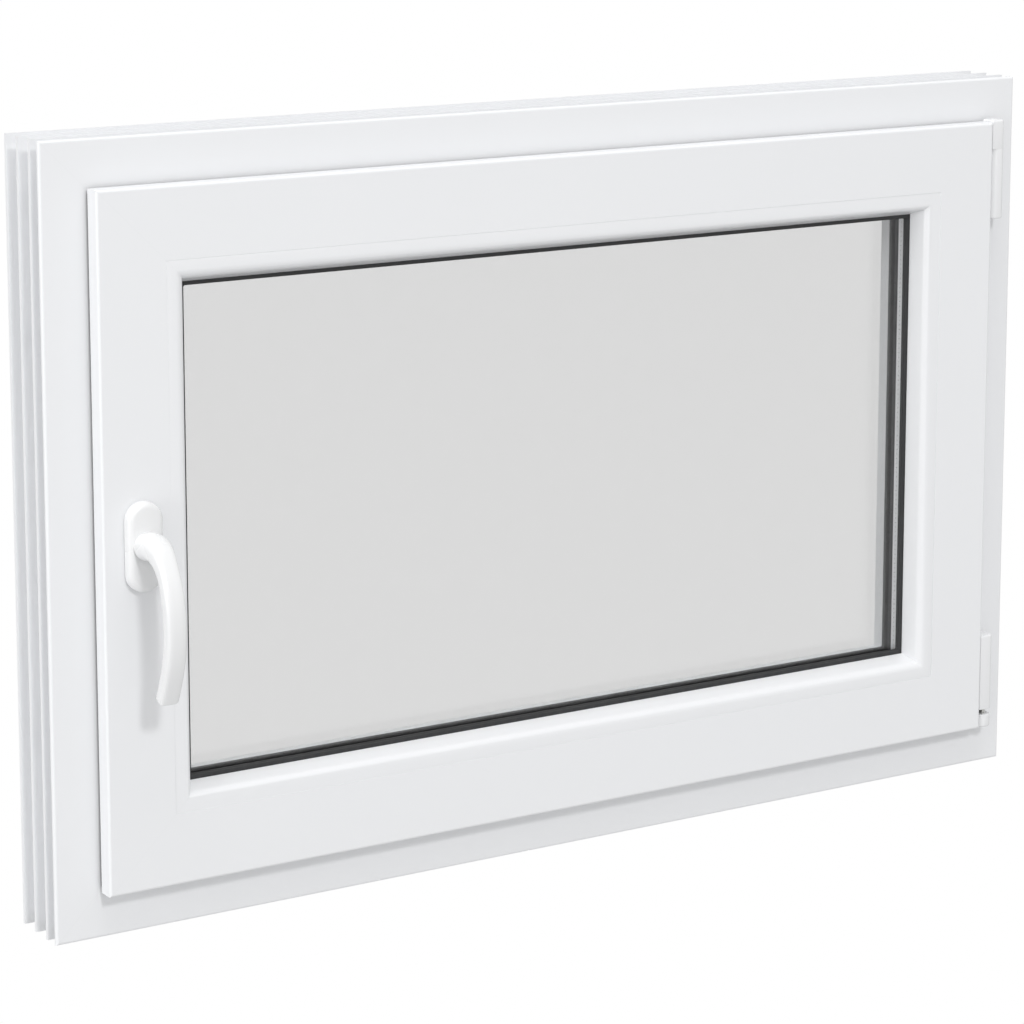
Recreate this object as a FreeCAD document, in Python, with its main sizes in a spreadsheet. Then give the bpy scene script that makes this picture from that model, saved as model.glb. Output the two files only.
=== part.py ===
import FreeCAD, Part
import Sketcher
import math
import os

# Tilt-and-turn casement window, inward opening, hinged on the right.
# X runs along the width, Y runs from the room outwards, Z runs up.
# The origin is at the bottom centre of the frame, on its room-side face.

doc = FreeCAD.newDocument("casement_window")
os.makedirs("parts", exist_ok=True)
sheet = doc.addObject("Spreadsheet::Sheet", "Sizes")
size_names = []
nodes = []
REACH = 1  # how far a cut overruns and a joined piece sinks into its neighbour
MITRE_REACH = 5  # the same for the large wedges that cut the mitres


class Size:
    """A length that knows its value and the expression that gives it."""

    def __init__(self, text, number):
        self.text = text
        self.number = number

    def join(self, sign, other, number):
        return Size("(%s %s %s)" % (self.text, sign, as_size(other).text), number)

    def __add__(self, other):
        return self.join("+", other, self.number + as_size(other).number)

    def __sub__(self, other):
        return self.join("-", other, self.number - as_size(other).number)

    def __mul__(self, other):
        return self.join("*", other, self.number * as_size(other).number)

    def __truediv__(self, other):
        return self.join("/", other, self.number / as_size(other).number)

    def __radd__(self, other):
        return as_size(other) + self

    def __rsub__(self, other):
        return as_size(other) - self

    def __rmul__(self, other):
        return as_size(other) * self

    def __neg__(self):
        return Size("(0 - %s)" % self.text, -self.number)


def as_size(value):
    if isinstance(value, Size):
        return value
    return Size(repr(round(float(value), 6)), float(value))


def size(name, number):
    """Write one named driving dimension into the sheet."""
    size_names.append(name)
    row = len(size_names)
    sheet.set("A%d" % row, name.replace("_", " "))
    sheet.set("B%d" % row, str(number))
    sheet.setAlias("B%d" % row, name)
    return Size("Sizes.%s" % name, float(number))


# ---------------------------------------------------------------- helpers

PLANE_ROLES = {"X": "YZ_Plane", "Y": "XZ_Plane", "Z": "XY_Plane"}


def new_body(name):
    """One sub-part of the window, saved under its own name."""
    body = doc.addObject("PartDesign::Body", name)
    body.Label = name
    nodes.append(body)
    return body


def place(obj, angle=0, x=0, y=0, z=0):
    """Turn a body about Y and set it down at a position bound to the sheet."""
    turn = FreeCAD.Rotation(FreeCAD.Vector(0, 1, 0), angle)
    obj.Placement = FreeCAD.Placement(FreeCAD.Vector(0, 0, 0), turn)
    for axis, value in (("x", x), ("y", y), ("z", z)):
        obj.setExpression("Placement.Base." + axis, as_size(value).text)


def sketch_on(body, axis, offset, name):
    """Sketch square to an axis; u, v are Y, Z for X; X, Z for Y; X, Y for Z."""
    sketch = body.newObject("Sketcher::SketchObject", name)
    planes = [f for f in body.Origin.OriginFeatures if f.Role == PLANE_ROLES[axis]]
    sketch.AttachmentSupport = [(planes[0], "")]
    sketch.MapMode = "FlatFace"
    sketch.setExpression("AttachmentOffset.Base.z", as_size(offset).text)
    return sketch


def bind(sketch, kind, number, text, *where):
    index = sketch.addConstraint(Sketcher.Constraint(kind, *where, number))
    sketch.setExpression("Constraints[%d]" % index, text)


def fix_point(sketch, geometry, end, point):
    for kind, value in (("DistanceX", point[0]), ("DistanceY", point[1])):
        value = as_size(value)
        bind(sketch, kind, value.number, value.text, -1, 1, geometry, end)


def towards(point, other, radius):
    """The point one radius along the square edge that runs to the other point."""
    across = as_size(other[0]).number - as_size(point[0]).number
    along = as_size(other[1]).number - as_size(point[1]).number
    if abs(across) > abs(along):
        return (point[0] + math.copysign(1, across) * radius, point[1])
    return (point[0], point[1] + math.copysign(1, along) * radius)


def draw_loop(sketch, corners):
    """Closed outline; a corner with a third value is rounded by that radius."""
    corners = [tuple(as_size(value) for value in corner) for corner in corners]
    runs = []
    for index, corner in enumerate(corners):
        if len(corner) == 2:
            runs.append((corner, corner, None))
            continue
        before = towards(corner, corners[index - 1], corner[2])
        after = towards(corner, corners[(index + 1) % len(corners)], corner[2])
        runs.append((before, after, corner))
    pieces = []
    for index, (start, leave, corner) in enumerate(runs):
        if corner is not None:
            pieces.append((start, leave, corner))
        pieces.append((leave, runs[(index + 1) % len(runs)][0], None))
    first = sketch.GeometryCount
    for start, finish, corner in pieces:
        a = FreeCAD.Vector(start[0].number, start[1].number, 0)
        b = FreeCAD.Vector(finish[0].number, finish[1].number, 0)
        if corner is None:
            sketch.addGeometry(Part.LineSegment(a, b))
            continue
        tip = FreeCAD.Vector(corner[0].number, corner[1].number, 0)
        centre = a + b - tip
        middle = centre + (tip - centre).normalize() * corner[2].number
        sketch.addGeometry(Part.Arc(a, middle, b))
    for index, (start, finish, corner) in enumerate(pieces):
        geometry = first + index
        a = FreeCAD.Vector(start[0].number, start[1].number, 0)
        flipped = (sketch.getPoint(geometry, 1) - a).Length > 1e-6
        near, far = (2, 1) if flipped else (1, 2)
        fix_point(sketch, geometry, near, start)
        if corner is not None:
            fix_point(sketch, geometry, far, finish)
            bind(sketch, "Radius", corner[2].number, corner[2].text, geometry)
    for index, (start, finish, corner) in enumerate(pieces):
        if corner is not None:
            continue
        following = pieces[(index + 1) % len(pieces)]
        if following[2] is None:
            target = first + (index + 1) % len(pieces)
            sketch.addConstraint(
                Sketcher.Constraint("Coincident", first + index, 2, target, 1))
        else:
            fix_point(sketch, first + index, 2, finish)


def draw_circle(sketch, centre, radius):
    centre = [as_size(value) for value in centre]
    radius = as_size(radius)
    middle = FreeCAD.Vector(centre[0].number, centre[1].number, 0)
    normal = FreeCAD.Vector(0, 0, 1)
    index = sketch.addGeometry(Part.Circle(middle, normal, radius.number))
    fix_point(sketch, index, 3, centre)
    bind(sketch, "Radius", radius.number, radius.text, index)


def draw(sketch, shapes):
    """Shapes are outlines (lists of corners) or circles ((u, v), radius)."""
    for shape in shapes:
        if isinstance(shape, tuple):
            draw_circle(sketch, shape[0], shape[1])
        else:
            draw_loop(sketch, shape)


def add(body, axis, shapes, low, high):
    """Add material between two positions along an axis."""
    low, high = as_size(low), as_size(high)
    offset = -high if axis == "Y" else low
    count = len(body.Group)
    sketch = sketch_on(body, axis, offset, "%s_outline_%d" % (body.Name, count))
    draw(sketch, shapes)
    pad = body.newObject("PartDesign::Pad", "%s_pad_%d" % (body.Name, count))
    pad.Profile = sketch
    pad.setExpression("Length", (high - low).text)
    sketch.Visibility = False
    return pad


def cut(body, axis, shapes, low, high):
    """Take material away between two positions along an axis."""
    low, high = as_size(low), as_size(high)
    offset = -low if axis == "Y" else high
    count = len(body.Group)
    sketch = sketch_on(body, axis, offset, "%s_outline_%d" % (body.Name, count))
    draw(sketch, shapes)
    pocket = body.newObject("PartDesign::Pocket", "%s_cut_%d" % (body.Name, count))
    pocket.Profile = sketch
    pocket.setExpression("Length", (high - low).text)
    sketch.Visibility = False
    return pocket


def box(u0, u1, v0, v1, *radius):
    """Rectangle outline, its corners rounded when a radius is given."""
    return [(u0, v0) + radius, (u1, v0) + radius, (u1, v1) + radius, (u0, v1) + radius]


def round_edges(body, radius, wanted):
    """Fillet the edges of the body's tip that the test picks out."""
    doc.recompute()
    base = body.Tip
    names = []
    for index, edge in enumerate(base.Shape.Edges):
        if wanted(edge):
            names.append("Edge%d" % (index + 1))
    fillet = body.newObject("PartDesign::Fillet", body.Name + "_rounding")
    fillet.Base = (base, names)
    fillet.setExpression("Radius", as_size(radius).text)
    return fillet


# ------------------------------------------------------- driving dimensions

width = size("frame_width", 900)
height = size("frame_height", 600)
depth = size("frame_depth", 60)
wall = size("profile_wall", 3)
groove = size("edge_groove_depth", 8)
frame_face = size("frame_face_width", 44)
stop_face = size("frame_stop_width", 64)
stop_depth = size("frame_stop_depth", 14)
fin_front = size("front_fin_depth", 15.5)
fin_rear = size("rear_fin_depth", 36)
edge_round = size("flange_rounding", 2)
reveal = size("frame_face_seen", 36)
overlap = size("sash_overlap", 20)
proud = size("sash_proud", 18)
face_gap = size("overlap_gap", 3.5)
sash_depth = size("sash_body_depth", 43)
bead_start = size("bead_outer_edge", 91)
bead_width = size("bead_width", 19)
upstand = size("exterior_upstand_edge", 108)
pane = size("pane_thickness", 4)
unit = size("glazing_thickness", 24)
pane_front = size("glass_face_position", 4)
glass_cover = size("glass_edge_cover", 13)
pivot_inset = size("pivot_inset", 28.5)
pivot_front = size("pivot_front", 11)
pin_radius = size("hinge_pin_radius", 3)
running = size("running_clearance", 0.05)
fit_gap = size("free_clearance", 0.4)
tilt_height = size("tilt_axis_height", 44)
rosette_length = size("rosette_length", 68)
rosette_width = size("rosette_width", 29)
rosette_depth = size("rosette_depth", 9.5)
neck_radius = size("neck_radius", 9.6)
lever_width = size("lever_width", 15.5)
lever_thickness = size("lever_thickness", 11)
bend_start = size("lever_bend_start", 15)
bow_out = size("lever_bow_out", 52)
bow_drop = size("lever_bow_drop", 31)
tip_out = size("lever_tip_out", 40)
tip_drop = size("lever_tip_drop", 107)
spindle_side = size("spindle_side", 7)
pitch_radius = size("pinion_pitch_radius", 7)
rack_line = size("rack_line_depth", 4)
corner_flat = size("rounded_corner_flat", 0.5)
steel = size("reinforcement_wall", 1.5)
screw_radius = size("frame_fixing_radius", 4)
fixing_inset = size("frame_fixing_inset", 150)
fixing_depth = size("frame_fixing_depth", 26)

# positions that follow from the sizes above
sash_edge = reveal + overlap
sash_back = -face_gap
sash_front = -proud
bead_end = bead_start + bead_width
unit_back = pane_front + unit
glass_edge = bead_end - glass_cover
hinge_x = width / 2 - pivot_inset
hinge_y = -pivot_front
overlap_x = width / 2 - reveal
sash_side_x = width / 2 - sash_edge
overlap_top = height - reveal
sash_top = height - sash_edge
handle_z = height / 2
handle_inset = sash_edge + rack_line + pitch_radius
SIDES = {
    "bottom": (0, width, 0, 0),
    "top": (180, width, 0, height),
    "left": (90, height, -(width / 2), height / 2),
    "right": (-90, height, width / 2, height / 2),
}


# --------------------------------------------------- mitred profile members

def member(name, side, shapes, near, far):
    """Profile bar along one side; v in its section is the distance inwards."""
    angle, length, x, z = SIDES[side]
    body = new_body(name)
    half = length / 2 - near
    add(body, "X", shapes, -half, half)
    corner = length / 2
    for sign in (-1, 1):
        tip = [
            (sign * (corner - near + MITRE_REACH), near - MITRE_REACH),
            (sign * (corner - far - MITRE_REACH), far + MITRE_REACH),
            (sign * (corner - near + MITRE_REACH), far + MITRE_REACH),
        ]
        cut(body, "Y", [tip], -proud - MITRE_REACH, depth + MITRE_REACH)
    place(body, angle, x, 0, z)
    return body


def steel_bar(name, side, y0, y1, v0, v1):
    """Square steel tube that stiffens one profile bar, cut square at its ends."""
    angle, length, x, z = SIDES[side]
    body = new_body(name)
    half = length / 2 - v1 - wall
    tube = [box(y0, y1, v0, v1), box(y0 + steel, y1 - steel, v0 + steel, v1 - steel)]
    add(body, "X", tube, -half, half)
    place(body, angle, x, 0, z)
    return body


def frame_section():
    """Outer frame: nailing grooves outside, rebate and outer stop inside."""
    outline = [(0, 0, edge_round)]
    fins = [as_size(0), fin_front, fin_rear, depth - wall]
    for fin, following in zip(fins, fins[1:]):
        outline += [(fin + wall, 0), (fin + wall, groove)]
        outline += [(following, groove), (following, 0)]
    outline += [(depth, 0), (depth, stop_face), (depth - stop_depth, stop_face)]
    outline += [(depth - stop_depth, frame_face), (0, frame_face)]
    inner = groove + wall
    top = frame_face - wall
    rear = fin_rear + wall / 2
    chambers = [
        box(wall, fin_front, inner, top),
        box(fin_front + wall, rear - wall, inner, top),
        box(rear, depth - wall, inner, top),
        box(depth - stop_depth + wall, depth - wall, frame_face, stop_face - wall),
    ]
    return [outline] + chambers


hardware_front = size("hardware_groove_front", 1)
hardware_width = size("hardware_groove_width", 16)
faceplate = size("faceplate_thickness", 1.5)
rod_width = size("drive_rod_width", 10)
rod_play = size("drive_rod_play", 0.3)
rod_depth = size("rod_channel_depth", 6.5)
bead_foot = size("bead_foot_depth", 3)
bead_foot_front = size("bead_foot_front", -9)
bead_foot_width = size("bead_foot_width", 4)
bead_shoulder = size("bead_shoulder", 3)
bead_bevel = size("bead_bevel", 1)
hardware_middle = hardware_front + hardware_width / 2
rod_front = hardware_middle - rod_width / 2
rod_back = hardware_middle + rod_width / 2


def sash_section():
    """Sash: overlap on the room side, hardware groove, glazing rebate."""
    back = hardware_front + hardware_width
    plate = sash_edge + faceplate
    channel = plate + rod_depth
    rebate = unit_back + wall
    foot = bead_start - bead_foot
    outline = [
        (sash_front, reveal, edge_round),
        (sash_back, reveal),
        (sash_back, sash_edge),
        (hardware_front, sash_edge),
        (hardware_front, plate),
        (rod_front - rod_play, plate),
        (rod_front - rod_play, channel),
        (rod_back + rod_play, channel),
        (rod_back + rod_play, plate),
        (back, plate),
        (back, sash_edge),
        (sash_depth, sash_edge),
        (sash_depth, upstand),
        (rebate, upstand),
        (rebate, bead_start),
        (bead_foot_front + bead_foot_width, bead_start),
        (bead_foot_front + bead_foot_width, foot),
        (bead_foot_front, foot),
        (bead_foot_front, bead_start),
        (sash_front, bead_start),
    ]
    low = sash_edge + wall
    high = bead_start - wall
    chambers = [
        box(sash_front + wall, sash_back - wall, reveal + wall, sash_edge),
        box(sash_front + wall, hardware_front - wall, low, foot - wall / 2),
        box(hardware_front, back, channel + wall, high),
        box(back + wall, sash_depth - wall, low, high),
        box(rebate + wall, sash_depth - wall, bead_start, upstand - wall),
    ]
    return [outline] + chambers


def bead_section():
    """Glazing bead: clips into the rebate and holds the glass from the room."""
    foot_back = bead_foot_front + bead_foot_width
    foot = bead_start - bead_foot
    crest = bead_end - bead_shoulder
    inner_wall = wall * 1.5
    outline = [
        (sash_front, bead_start, bead_bevel),
        (sash_front, crest - bead_shoulder),
        (sash_front + bead_bevel, crest - bead_bevel),
        (sash_front + bead_shoulder, crest),
        (0, bead_end),
        (0, bead_start),
        (foot_back, bead_start),
        (foot_back, foot),
        (bead_foot_front, foot),
        (bead_foot_front, bead_start),
    ]
    hollow = [
        (sash_front + wall, bead_start + wall),
        (sash_front + wall, crest - inner_wall),
        (-wall, bead_end - inner_wall),
        (-wall, bead_start + wall),
    ]
    return [outline, hollow]


FRAME_NAMES = {"bottom": "frame_sill", "top": "frame_head",
               "left": "frame_jamb_lock", "right": "frame_jamb_hinge"}
SASH_NAMES = {"bottom": "sash_rail_bottom", "top": "sash_rail_top",
              "left": "sash_stile_lock", "right": "sash_stile_hinge"}
frame_bars = {}
sash_bars = {}
for side in SIDES:
    frame_bars[side] = member(FRAME_NAMES[side], side, frame_section(), as_size(0), stop_face)
    sash_bars[side] = member(SASH_NAMES[side], side, sash_section(), reveal, upstand)
    member("glazing_bead_" + side, side, bead_section(), bead_start - bead_foot, bead_end)

steel_play = size("reinforcement_play", 0.5)
for side in SIDES:
    steel_bar("frame_steel_" + side, side, fin_front + wall + steel_play,
              fin_rear - wall / 2 - steel_play, groove + wall + steel_play,
              frame_face - wall - steel_play)
    steel_bar("sash_steel_" + side, side, hardware_front + hardware_width + wall + steel_play,
              sash_depth - wall - steel_play, sash_edge + wall + steel_play,
              bead_start - wall - steel_play)


# ------------------------------------------- holes in the frame and the sash

def drill_fixings(body):
    """Two holes through the bar for the screws that fix the window in its wall."""
    spots = []
    for sign in (-1, 1):
        along = sign * (height / 2 - fixing_inset)
        spots.append(((along, fixing_depth), screw_radius))
    cut(body, "Z", spots, -wall, stop_face + wall)


for body in (frame_bars["left"], frame_bars["right"],
             doc.frame_steel_left, doc.frame_steel_right):
    drill_fixings(body)

drain_length = size("drain_slot_length", 26)
drain_height = size("drain_slot_height", 5)
drains = []
for sign in (-1, 1):
    middle = sign * width / 4
    drains.append(box(middle - drain_length / 2, middle + drain_length / 2,
                      frame_face + wall, frame_face + wall + drain_height))
cut(frame_bars["bottom"], "Y", drains, depth - wall - REACH, depth + REACH)

case_half = size("gearbox_half_height", 28)
case_depth = size("gearbox_depth", 15)
case_width = size("gearbox_width", 10.2)
case_gap = size("gearbox_rack_gap", 1.4)
addendum = size("tooth_addendum", 0.8)
dedendum = size("tooth_dedendum", 1)
spindle_hole = size("spindle_hole_radius", 6)
screw_spacing = size("rosette_screw_spacing", 43)
rosette_screw = size("rosette_screw_radius", 2.4)
stile = sash_bars["left"]
case_front = hardware_middle - case_width / 2
case_back = hardware_middle + case_width / 2
case_start = sash_edge + rack_line + addendum + case_gap
case_end = handle_inset + case_depth
cut(stile, "Z", [box(-case_half - fit_gap, case_half + fit_gap,
                     case_front - fit_gap, case_back + fit_gap)],
    sash_edge + faceplate, case_end + fit_gap)
bores = [((0, handle_inset), spindle_hole)]
for sign in (-1, 1):
    bores.append(((sign * screw_spacing / 2, handle_inset), rosette_screw))
cut(stile, "Y", bores, sash_front - wall, case_front)


# ------------------------------------------------------- gaskets and glazing

def ring(name, outer, inner, y0, y1):
    """Closed ring set by its distances inwards from the frame's outer edge."""
    body = new_body(name)
    shapes = []
    for inset in (outer, inner):
        inset = as_size(inset)
        shapes.append(box(inset - width / 2, width / 2 - inset, inset, height - inset))
    add(body, "Y", shapes, y0, y1)
    return body


def sheet_of_glass(name, y0, y1):
    body = new_body(name)
    add(body, "Y", [box(glass_edge - width / 2, width / 2 - glass_edge,
                        glass_edge, height - glass_edge)], y0, y1)


gasket = size("gasket_width", 4)
gasket_play = size("gasket_play", 0.4)
lip_play = size("overlap_gasket_play", 0.9)
spacer_width = size("spacer_width", 6)
seal_width = size("edge_seal_width", 4)
bead_lip = size("bead_gasket_lip", 3)
lip_inset = size("overlap_gasket_inset", 2)
outer_lip = size("outer_gasket_lip", 1)
stop_middle = (frame_face + stop_face) / 2 + wall
ring("frame_stop_gasket", stop_middle, stop_middle + gasket,
     sash_depth + gasket_play, depth - stop_depth)
overlap_gasket = ring("overlap_gasket", reveal + lip_inset, reveal + lip_inset + wall, sash_back, -lip_play)
ring("glazing_gasket_outer", glass_edge + outer_lip, upstand + outer_lip, unit_back, unit_back + wall)
ring("bead_gasket", bead_end - gasket, bead_end + bead_lip, 0, pane_front)
sheet_of_glass("glass_inner", pane_front, pane_front + pane)
sheet_of_glass("glass_outer", unit_back - pane, unit_back)
ring("edge_seal", glass_edge, glass_edge + seal_width, pane_front + pane, unit_back - pane)
ring("spacer_frame", glass_edge + seal_width, glass_edge + seal_width + spacer_width,
     pane_front + pane, unit_back - pane)

block_length = size("glazing_block_length", 100)
block_inset = size("glazing_block_inset", 90)
blocks = new_body("glazing_blocks")
blocks.AllowCompound = True
for sign in (-1, 1):
    middle = sign * (width / 2 - bead_start - block_inset)
    add(blocks, "Y", [box(middle - block_length / 2, middle + block_length / 2,
                          bead_start, glass_edge)], pane_front, unit_back)


# ------------------------------------------------- stay at the top hinge side

stay_bottom = size("stay_cover_height", 84)
eye_drop = size("stay_eye_height", 24.5)
arm_length = size("stay_arm_length", 250)
arm_thickness = size("stay_arm_thickness", 3)
crank_thickness = size("crank_thickness", 2.2)
knuckle = size("knuckle_radius", 4.9)
cap_side = size("hinge_cap_half_width", 6.2)
cap_wall = size("hinge_cap_wall", 1)
cap_rise = size("hinge_cap_rise", 2)
cap_back = size("hinge_cap_back_gap", 4)
cap_play = size("hinge_cap_play", 0.1)
cap_round = size("hinge_cap_rounding", 4)
knuckle_gap = size("knuckle_gap", 0.6)
knuckle_round = knuckle - corner_flat
pin_seat = size("pin_seat_height", 18)
pin_drop = size("pin_drop", 3)
crank_lift = size("crank_lift", 1.5)
crank_right = size("crank_overrun", 1.5)
cap_top = overlap_top + cap_rise
cap_low = cap_top - stay_bottom
eye_low = cap_top - eye_drop
crank_back = size("crank_back_gap", 0.8)
arm_lift = size("arm_lift", 4)


def at_hinge(x0, x1, y0, y1, *radius):
    """Rectangle in plan, measured from the hinge axis."""
    return box(hinge_x + x0, hinge_x + x1, hinge_y + y0, hinge_y + y1, *radius)


def rounded_front(half, y0, y1, radius, left=None):
    """Plan outline with rounded room-side corners and a straight back."""
    left = -half if left is None else left
    return [
        (hinge_x + left, hinge_y + y0, radius),
        (hinge_x + half, hinge_y + y0, radius),
        (hinge_x + half, hinge_y + y1),
        (hinge_x + left, hinge_y + y1),
    ]


bearing = new_body("stay_bearing")
add(bearing, "Z", [rounded_front(knuckle, -knuckle, pivot_front, knuckle_round)],
    cap_low + cap_wall * 2, eye_low - knuckle_gap)
cut(bearing, "Z", [((hinge_x, hinge_y), pin_radius)], cap_low + pin_seat, cap_top)
pin = new_body("stay_bearing_pin")
add(pin, "Z", [((hinge_x, hinge_y), pin_radius)], cap_low + pin_seat, cap_top - pin_drop)


def hinge_cap(name, low, high, closed_low, closed_high, half, back, rounding, left=None):
    """Thin plastic cap round a hinge knuckle, open at its back."""
    body = new_body(name)
    front = -(half + cap_play)
    add(body, "Z", [rounded_front(half, front, back, rounding, left)], low, high)
    inner_left = None if left is None else left - cap_wall
    inside = rounded_front(half - cap_wall, front + cap_wall, back + REACH,
                           rounding - cap_wall, inner_left)
    floor = low + cap_wall if closed_low else low - REACH
    roof = high - cap_wall if closed_high else high + REACH
    cut(body, "Z", [inside], floor, roof)
    return body


hinge_cap("stay_bearing_cover", cap_low, eye_low - knuckle_gap, True, False, cap_side,
          pivot_front, cap_round)

arm = new_body("stay_arm")
crank_low = sash_top + crank_lift
crank_high = sash_top + arm_lift + arm_thickness
add(arm, "Z", [rounded_front(knuckle, -knuckle, knuckle, knuckle_round)],
    eye_low, cap_top - cap_wall * 2)
add(arm, "Z", [at_hinge(-knuckle, crank_right, wall, pivot_front - crank_back)],
    crank_low, crank_high)
crank_left = sash_side_x - hinge_x + wall
add(arm, "Z", [at_hinge(crank_left, crank_right,
                        pivot_front - crank_back - crank_thickness,
                        pivot_front - crank_back)], crank_low, crank_high)
bar_front = hardware_middle - hinge_y - rod_width / 2
bar_back = hardware_middle - hinge_y + rod_width / 2
add(arm, "Z", [at_hinge(crank_left, crank_left + gasket,
                        pivot_front - crank_back - crank_thickness, bar_back)],
    crank_low, crank_high)
add(arm, "Z", [at_hinge(-arm_length - rod_width / 2, crank_left + gasket,
                        bar_front, bar_back)], sash_top + arm_lift, crank_high)
slider_radius = size("stay_slider_radius", 2.5)
slider_drop = size("stay_slider_drop", 7)
slot_play = size("stay_slot_play", 0.7)
slot_run = size("stay_slot_run", 6)
add(arm, "Z", [((hinge_x - arm_length, hardware_middle), slider_radius)],
    sash_top - slider_drop, sash_top + arm_lift + REACH)
cut(arm, "Z", [((hinge_x, hinge_y), pin_radius + running)], eye_low - REACH, cap_top)
hinge_cap("stay_arm_cover", eye_low, cap_top, False, True, cap_side,
          pivot_front - cap_back, cap_round)

crank_notch = size("gasket_notch_play", 6)
cut(overlap_gasket, "Y", [box(width / 2 - reveal - gasket * 2, width / 2 - reveal,
                              crank_low - crank_notch, crank_high + crank_notch)],
    sash_back - REACH, REACH)

guide = new_body("stay_guide")
guide_lead = size("stay_guide_lead", 40)
guide_run = size("stay_guide_run", 60)
guide_left = hinge_x - arm_length - guide_lead
guide_right = hinge_x - arm_length + guide_run
hardware_back = hardware_front + hardware_width
add(guide, "Z", [box(guide_left, guide_right, hardware_front, hardware_back)],
    sash_top - faceplate, sash_top)
slot_half = slider_radius + slot_play
cut(guide, "Z", [box(hinge_x - arm_length - slot_half - REACH,
                     hinge_x - arm_length + slot_half + slot_run,
                     hardware_middle - slot_half, hardware_middle + slot_half)],
    sash_top - faceplate - REACH, sash_top + REACH)


# --------------------------------------------- corner hinge at the bottom

shoe_radius = size("pivot_shoe_radius", 4.55)
shoe_low = size("pivot_shoe_bottom", 38)
shoe_top = size("pivot_shoe_top", 46)
foot_half = size("foot_half_thickness", 1.5)
foot_radius = size("foot_radius", 2.6)
foot_round = size("foot_rounding", 2.5)
shoe_wall = size("shoe_bearing_wall", 1)
cover_gap = size("bearing_cover_gap", 0.2)
cover_rise = size("bearing_cover_rise", 1.3)
bearing_round = size("bearing_cover_rounding", 6.2)
hinge_roof = size("corner_hinge_cap_rise", 2)
cross_pin = size("cross_pin_radius", 1.2)
hinge_low = size("corner_hinge_bottom", 52)
hinge_high = size("corner_hinge_top", 116)

corner = new_body("corner_bearing")
bearing_half = shoe_radius + shoe_wall
add(corner, "Z", [rounded_front(bearing_half, -bearing_half, pivot_front, shoe_radius)],
    shoe_low - shoe_wall, shoe_top)
cut(corner, "Z", [((hinge_x, hinge_y), shoe_radius + running)], shoe_low, shoe_top + REACH)
hinge_cap("corner_bearing_cover", shoe_low - shoe_wall - cap_wall, shoe_top + cover_rise, True,
          False, bearing_half + cap_wall + cover_gap, pivot_front, bearing_round)

shoe = new_body("pivot_shoe")
add(shoe, "Z", [((hinge_x, hinge_y), shoe_radius)], shoe_low, shoe_top)
cut(shoe, "Z", [at_hinge(-foot_half - running, foot_half + running,
                         -bearing_half, bearing_half)],
    tilt_height - foot_radius - fit_gap, shoe_top + REACH)
cut(shoe, "X", [((hinge_y, tilt_height), cross_pin)],
    hinge_x - shoe_radius, hinge_x + shoe_radius)
cross = new_body("pivot_cross_pin")
add(cross, "X", [((hinge_y, tilt_height), cross_pin)],
    hinge_x - shoe_radius + fit_gap, hinge_x + shoe_radius - fit_gap)

corner_hinge = new_body("corner_hinge")
sash_face_x = overlap_x - hinge_x
add(corner_hinge, "Z", [rounded_front(knuckle, -knuckle, knuckle, knuckle_round, sash_face_x)],
    hinge_low, hinge_high)
add(corner_hinge, "X", [[
    (hinge_y - foot_radius, tilt_height - foot_radius, foot_round),
    (hinge_y + foot_radius, tilt_height - foot_radius, foot_round),
    (hinge_y + foot_radius, hinge_low + REACH),
    (hinge_y - foot_radius, hinge_low + REACH)]],
    hinge_x - foot_half, hinge_x + foot_half)
cut(corner_hinge, "X", [((hinge_y, tilt_height), cross_pin + running)],
    hinge_x - foot_half - REACH, hinge_x + foot_half + REACH)
hinge_cap("corner_hinge_cover", hinge_low, hinge_high + hinge_roof, False, True, cap_side,
          pivot_front - cap_back, cap_round, sash_face_x)


# ------------------------------------------------- handle and drive gearing

tooth_count = size("pinion_teeth", 14)
root_share = size("tooth_root_share", 0.366)
tip_share = size("tooth_tip_share", 0.111)
tooth_pitch = 2 * math.pi * pitch_radius / tooth_count
root_half = tooth_pitch * root_share
tip_half = tooth_pitch * tip_share
travel = math.pi * pitch_radius
collar = size("handle_collar_depth", 4)

base = new_body("rosette_base")
half_w = rosette_width / 2
half_l = rosette_length / 2
base_depth = size("rosette_base_depth", 2.5)
rosette_wall = size("rosette_wall", 1.5)
base_play = size("rosette_base_play", 0.2)
inner_w = half_w - rosette_wall
inner_l = half_l - rosette_wall
inner_round = inner_w - REACH
base_w = inner_w - base_play
base_l = inner_l - base_play
add(base, "Y", [box(-base_w, base_w, -base_l, base_l, inner_round), ((0, 0), spindle_hole)],
    sash_front - base_depth, sash_front)
cut(base, "Y", [((0, sign * screw_spacing / 2), rosette_screw) for sign in (-1, 1)],
    sash_front - base_depth - REACH, sash_front + REACH)
place(base, 0, handle_inset - width / 2, 0, handle_z)

rosette = new_body("rosette_cover")
rosette_front = sash_front - rosette_depth
add(rosette, "Y", [box(-half_w, half_w, -half_l, half_l, half_w - corner_flat)],
    rosette_front, sash_front)
rosette_round = size("rosette_rounding", 4)
round_edges(rosette, rosette_round,
            lambda edge: abs(edge.BoundBox.YMax - rosette_front.number) < 0.01)
cut(rosette, "Y", [box(-inner_w, inner_w, -inner_l, inner_l, inner_round)],
    rosette_front + collar + REACH, sash_front + REACH)
cut(rosette, "Y", [((0, 0), neck_radius + fit_gap)],
    rosette_front - REACH, rosette_front + collar + REACH * 2)
place(rosette, 0, handle_inset - width / 2, 0, handle_z)

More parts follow.
